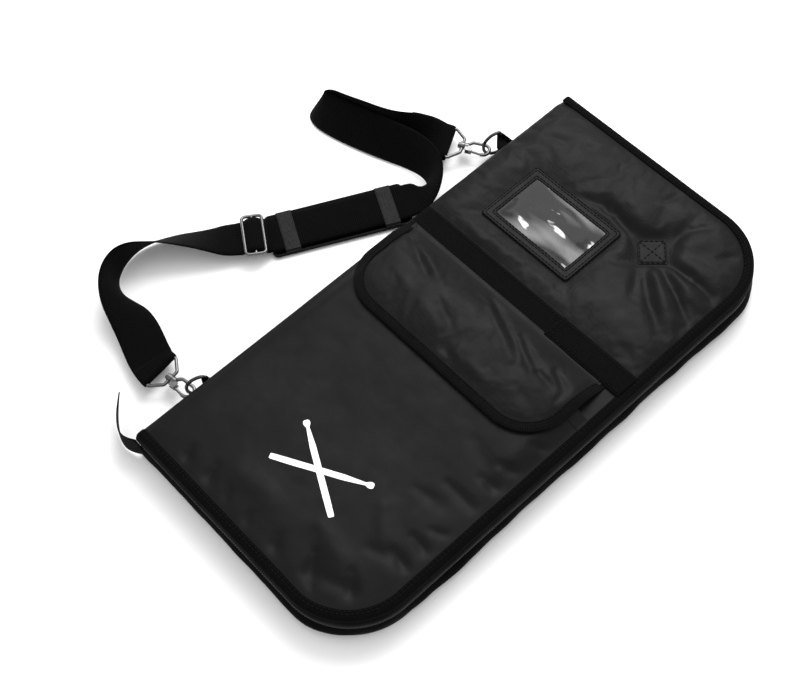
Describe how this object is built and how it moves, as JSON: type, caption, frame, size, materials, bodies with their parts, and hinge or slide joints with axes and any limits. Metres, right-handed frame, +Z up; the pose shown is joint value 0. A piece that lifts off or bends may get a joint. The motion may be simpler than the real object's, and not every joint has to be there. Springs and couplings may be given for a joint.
{
  "type": "drum stick bag",
  "caption": "Flat padded zip-round bag for drum sticks, with stick sleeves inside, a flap pocket and card window on the cover, and a clip-on shoulder strap.",
  "frame": {"origin": "centre of the back panel's outer face, which the bag lies on, midway between spine and opening side and between bottom and top edge", "axes": "+X from the spine to the opening side, +Y from the bottom edge to the top edge, +Z up out of the cover's outer face"},
  "size_m": [0.4289, 0.5159, 0.0402],
  "materials": {
    "cloth": "coated woven polyester, soft sheen",
    "gusset": "smooth woven side cloth",
    "binding": "ribbed folded edge tape, matt",
    "webbing": "ribbed webbing, matt",
    "lining": "thin smooth lining",
    "foam": "closed-cell sheet foam inside the cloth",
    "keeper": "grey elastic band",
    "hook_loop": "hook and loop pile",
    "film": "clear glossy vinyl film",
    "wire": "nickel plated wire",
    "zip": "moulded black coil teeth",
    "zip_metal": "nickel plated casting",
    "print": "matt white transfer print"
  },
  "bodies": {
    "root": {"back_outer_panel": "cloth", "back_gusset": "gusset", "back_edge_binding": "binding", "back_foam_pad": "foam", "back_lining": "lining", "lower_zip_tape": "webbing", "lower_zip_teeth": "zip", "spine_panel": "cloth", "stick_sleeve_panel": "lining", "stick_sleeve_hem": "binding", "lower_ring_tab": "webbing", "upper_ring_tab": "webbing", "zip_end_stop": "zip_metal", "zip_tail_tape": "webbing", "zip_tail_crimp": "zip_metal", "strap_lower_run": "webbing", "strap_pad_run": "webbing", "strap_upper_run": "webbing"},
    "cover": {"cover_outer_panel": "cloth", "cover_gusset": "gusset", "cover_edge_binding": "binding", "cover_foam_pad": "foam", "cover_lining": "lining", "upper_zip_teeth": "zip", "upper_zip_tape": "webbing", "front_pocket_panel": "cloth", "front_pocket_hem": "binding", "flap_band": "webbing", "band_end_overlay": "webbing", "id_window_frame": "binding", "id_window_film": "film", "loop_stitch_patch": "cloth", "emblem": "print", "inner_hanging_loop": "webbing", "cover_inner_pocket": "lining"},
    "pocket_flap": {"flap_cloth": "cloth", "flap_edge_binding": "binding", "flap_closing_patch": "hook_loop"},
    "shoulder_pad": {"shoulder_pad": "cloth", "lower_pad_keeper": "keeper", "upper_pad_keeper": "keeper"},
    "strap_slider": {"strap_slider": "wire"},
    "zip_slider": {"zip_slider": "zip_metal"},
    "zip_pull": {"zip_pull": "zip_metal"},
    "lower_d_ring": {"lower_d_ring": "wire"},
    "lower_strap_ring": {"lower_strap_ring": "wire"},
    "lower_snap_hook": {"lower_snap_hook": "wire"},
    "lower_hook_gate": {"lower_hook_gate": "wire"},
    "upper_d_ring": {"upper_d_ring": "wire"},
    "upper_strap_ring": {"upper_strap_ring": "wire"},
    "upper_snap_hook": {"upper_snap_hook": "wire"},
    "upper_hook_gate": {"upper_hook_gate": "wire"}
  },
  "joints": [
    {"name": "cover_hinge", "type": "hinge", "parent": "root", "child": "cover", "pos_m": [-0.126, 0, 0.032], "axis": [0, -1, 0], "range_deg": [0, 122]},
    {"name": "flap_hinge", "type": "hinge", "parent": "cover", "child": "pocket_flap", "pos_m": [-0.0065, 0.05, 0.0398], "axis": [-1, 0, 0], "range_deg": [0, 178]},
    {"name": "pad_slide", "type": "slide", "parent": "root", "child": "shoulder_pad", "axis": [0.4563, 0.8898, 0], "range_m": [0, 0.005]},
    {"name": "strap_slider_slide", "type": "slide", "parent": "root", "child": "strap_slider", "axis": [-0.544, -0.8377, 0.0471], "range_m": [0, 0.01]},
    {"name": "zip_slide", "type": "slide", "parent": "root", "child": "zip_slider", "axis": [1, 0, 0], "range_m": [0, 0.135]},
    {"name": "zip_pull_hinge", "type": "hinge", "parent": "zip_slider", "child": "zip_pull", "pos_m": [-0.0848, 0.2541, 0.0165], "axis": [0, 0, 1], "range_deg": [0, 150]},
    {"name": "lower_d_ring_hinge", "type": "hinge", "parent": "root", "child": "lower_d_ring", "pos_m": [-0.131, -0.17598, 0.016], "axis": [0, 0, 1], "range_deg": [-4, 4]},
    {"name": "lower_strap_ring_hinge", "type": "hinge", "parent": "root", "child": "lower_strap_ring", "pos_m": [-0.1725, -0.1955, 0.012], "axis": [0.1392, -0.9903, 0], "range_deg": [-3, 3]},
    {"name": "lower_hook_swivel", "type": "hinge", "parent": "lower_strap_ring", "child": "lower_snap_hook", "pos_m": [-0.15864, -0.19355, 0.012], "axis": [0.9903, 0.1392, 0], "range_deg": [-12, 12]},
    {"name": "lower_gate_hinge", "type": "hinge", "parent": "lower_snap_hook", "child": "lower_hook_gate", "pos_m": [-0.1503, -0.19682, 0.012], "axis": [0, 0, 1], "range_deg": [0, 16], "stiffness_Nm_per_rad": 0.01},
    {"name": "upper_d_ring_hinge", "type": "hinge", "parent": "root", "child": "upper_d_ring", "pos_m": [-0.141, 0.17836, 0.016], "axis": [0, 0, 1], "range_deg": [-4, 4]},
    {"name": "upper_strap_ring_hinge", "type": "hinge", "parent": "root", "child": "upper_strap_ring", "pos_m": [-0.176, 0.1455, 0.012], "axis": [0.5, -0.866, 0], "range_deg": [-3, 3]},
    {"name": "upper_hook_swivel", "type": "hinge", "parent": "upper_strap_ring", "child": "upper_snap_hook", "pos_m": [-0.16388, 0.1525, 0.012], "axis": [0.866, 0.5, 0], "range_deg": [-12, 12]},
    {"name": "upper_gate_hinge", "type": "hinge", "parent": "upper_snap_hook", "child": "upper_hook_gate", "pos_m": [-0.15492, 0.15259, 0.012], "axis": [0, 0, 1], "range_deg": [0, 16], "stiffness_Nm_per_rad": 0.01}
  ]
}
